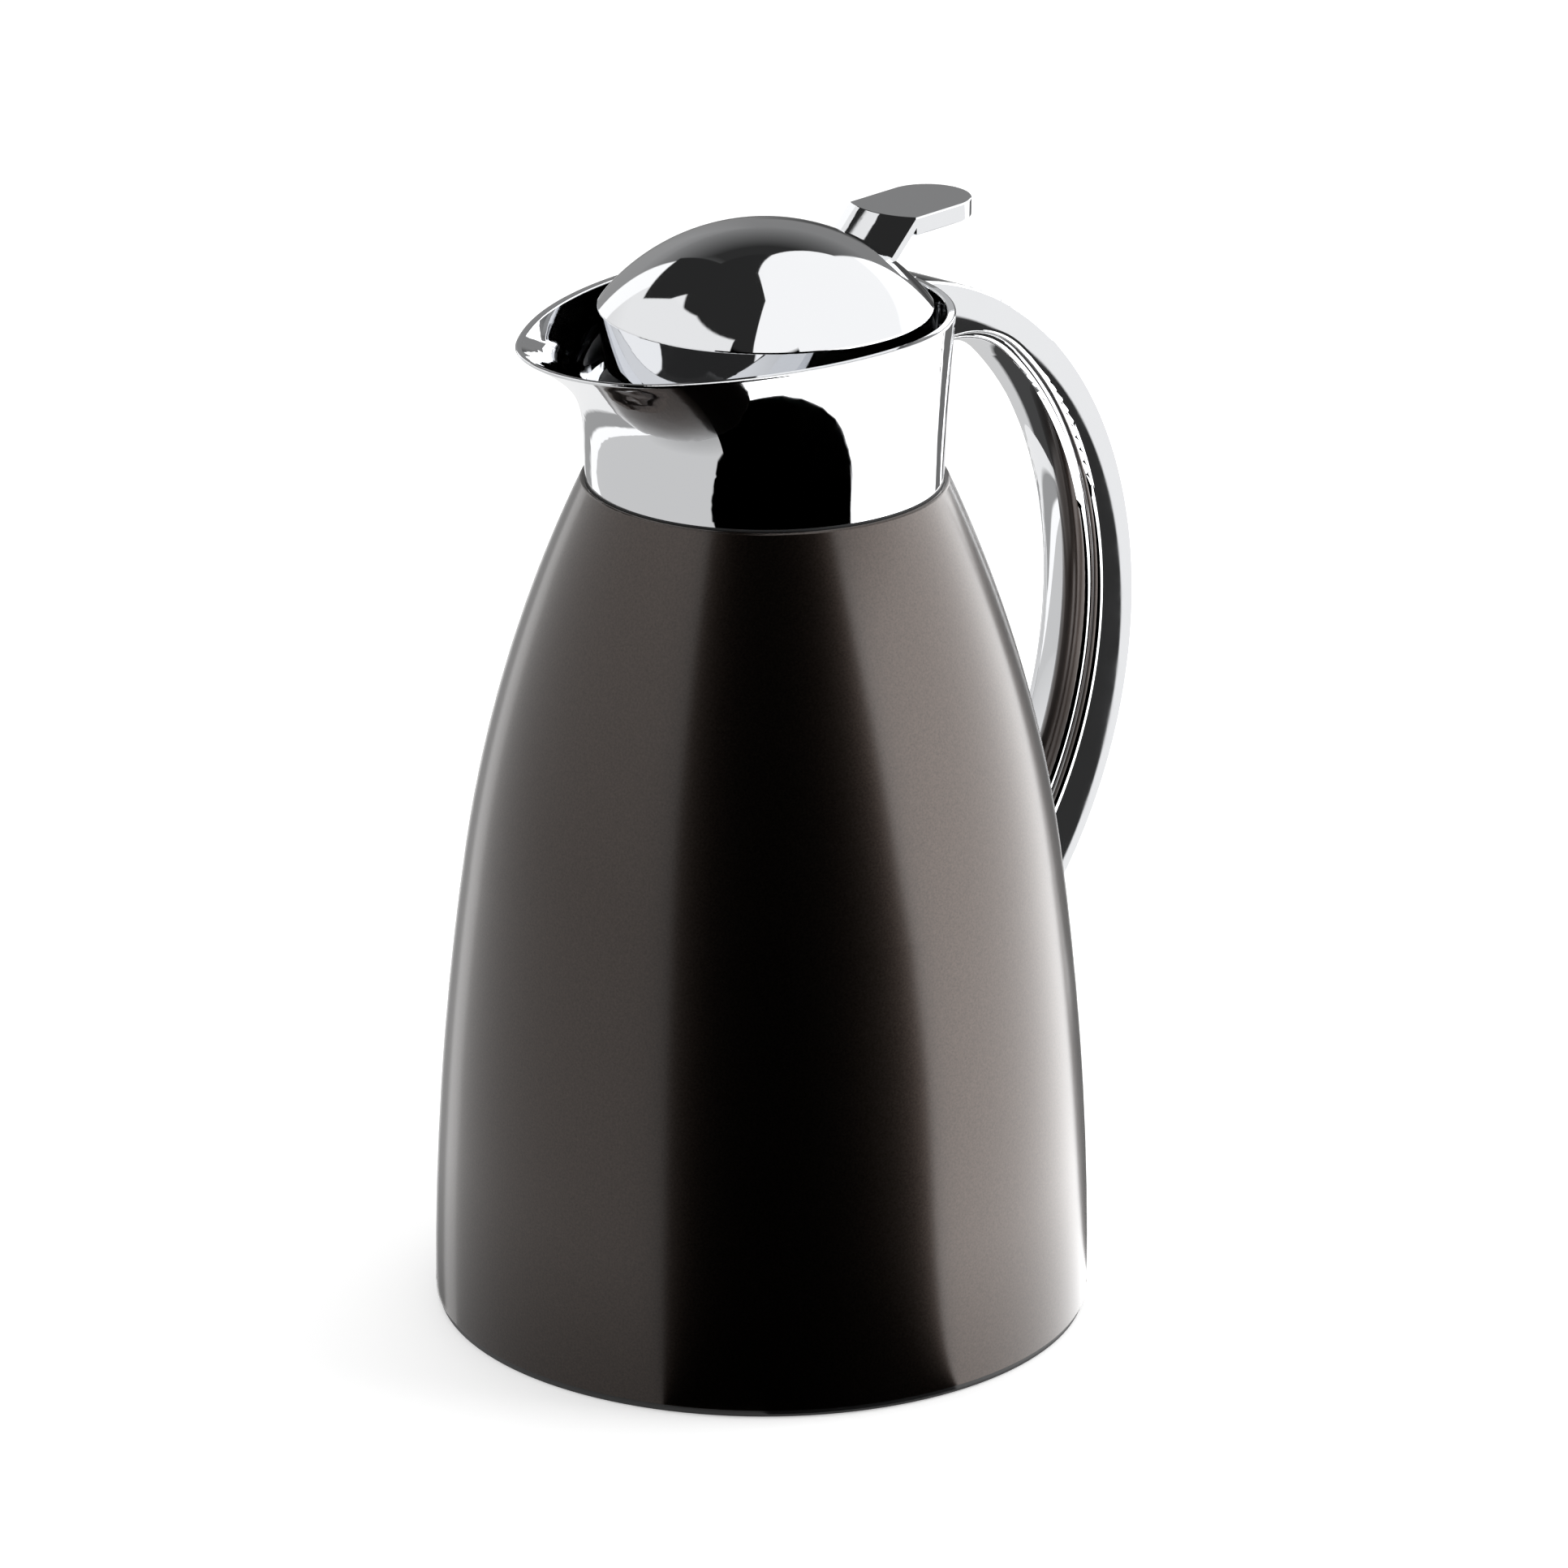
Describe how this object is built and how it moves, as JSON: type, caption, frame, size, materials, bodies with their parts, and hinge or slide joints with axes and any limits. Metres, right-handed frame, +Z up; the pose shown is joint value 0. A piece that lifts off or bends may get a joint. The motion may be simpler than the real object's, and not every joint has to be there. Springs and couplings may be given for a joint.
{
  "type": "coffee carafe",
  "caption": "Vacuum coffee carafe with a tapered lacquered shell, chrome collar with a broad spout, arched handle and a domed lid that a thumb lever tips open.",
  "frame": {"origin": "centre of the foot on the table plane, on the axis of the shell", "axes": "+Z up, +X towards the handle, -X towards the spout, Y across the mirror plane"},
  "size_m": [0.1825, 0.14, 0.2371],
  "materials": {
    "lacquered_steel": "dark brown metallic lacquer, satin",
    "chrome": "mirror chrome plating",
    "black_plastic": "matte moulded",
    "rubber": "soft, matte",
    "silicone": "matte silicone",
    "flask_glass": "silvered between the walls",
    "spacer_fibre": "pressed fibre",
    "foam": "rigid foam",
    "steel": "plain"
  },
  "bodies": {
    "carafe": {"body_shell": "lacquered_steel", "foot_ring": "black_plastic", "base_thread_ring": "black_plastic", "base_plate": "black_plastic", "flask_cushion": "rubber", "flask_outer": "flask_glass", "flask_inner": "flask_glass", "flask_spacers": "spacer_fibre", "flask_gasket": "silicone", "pour_ring": "black_plastic", "collar": "chrome", "collar_gasket": "silicone", "neck_nut": "black_plastic", "handle_outer": "chrome", "handle_inner": "chrome", "handle_top_screw": "steel", "handle_bottom_screw": "steel", "handle_backing_plate": "steel", "hinge_pins": "steel"},
    "lid": {"lid_dome": "chrome", "lid_base": "black_plastic", "lid_foam": "foam", "lid_plug": "black_plastic", "plug_seal": "silicone", "lid_screws": "steel", "lever": "chrome", "lever_screws": "steel"}
  },
  "joints": [
    {"name": "lid_hinge", "type": "hinge", "parent": "carafe", "child": "lid", "pos_m": [0.0348, 0, 0.2168], "axis": [0, 1, 0], "range_deg": [0, 34]}
  ]
}
